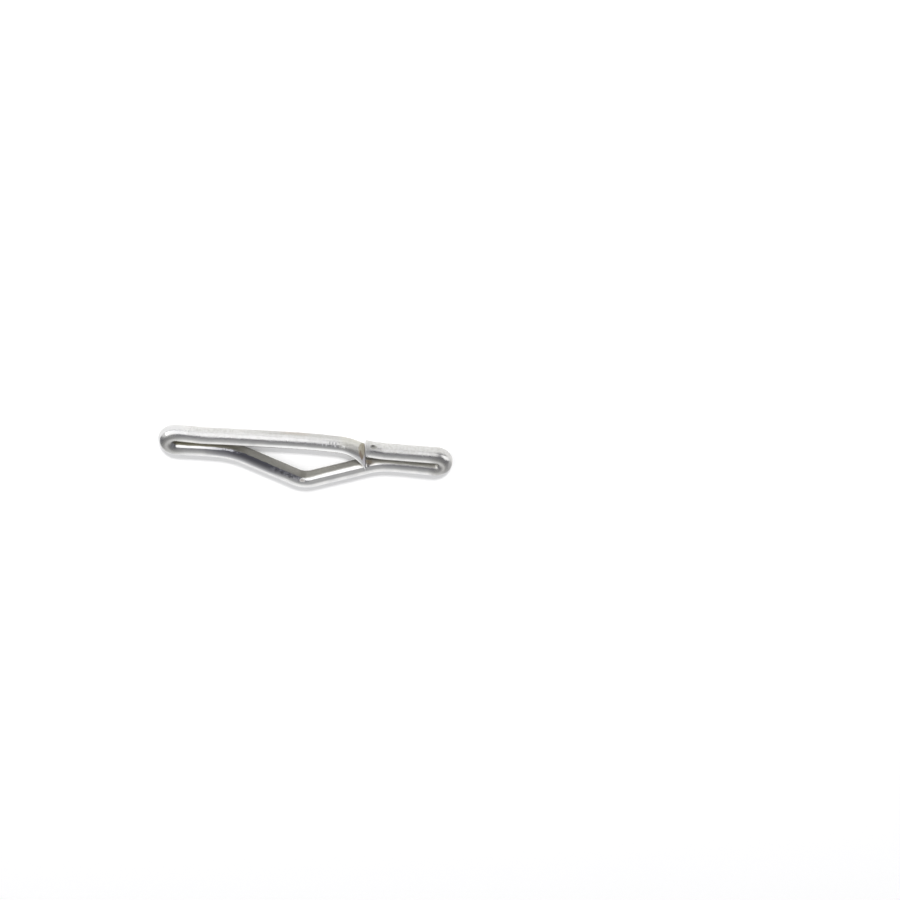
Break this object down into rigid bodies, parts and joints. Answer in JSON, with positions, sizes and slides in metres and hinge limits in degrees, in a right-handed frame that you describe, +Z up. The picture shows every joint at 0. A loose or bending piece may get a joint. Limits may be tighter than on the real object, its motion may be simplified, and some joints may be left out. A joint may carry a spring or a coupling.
{
  "type": "tufting clasp",
  "caption": "Flat clasp bent from one round wire, with a hairpin at each end, a bowed leg, a V-shaped leg and a slanted spring joint.",
  "frame": {"origin": "centre of the clasp's outline, on the surface that it lies on", "axes": "+X along the length, from the joint's hairpin towards the far one; +Y from the bowed leg towards the kink of the V leg; +Z up"},
  "size_m": [0.038, 0.0098, 0.0029],
  "materials": {
    "plated_wire": "bright zinc or nickel plate on steel wire, finely pitted, with bending marks and a warm tarnish at the joint"
  },
  "bodies": {
    "root": {"wire_clasp": "plated_wire"}
  },
  "joints": []
}
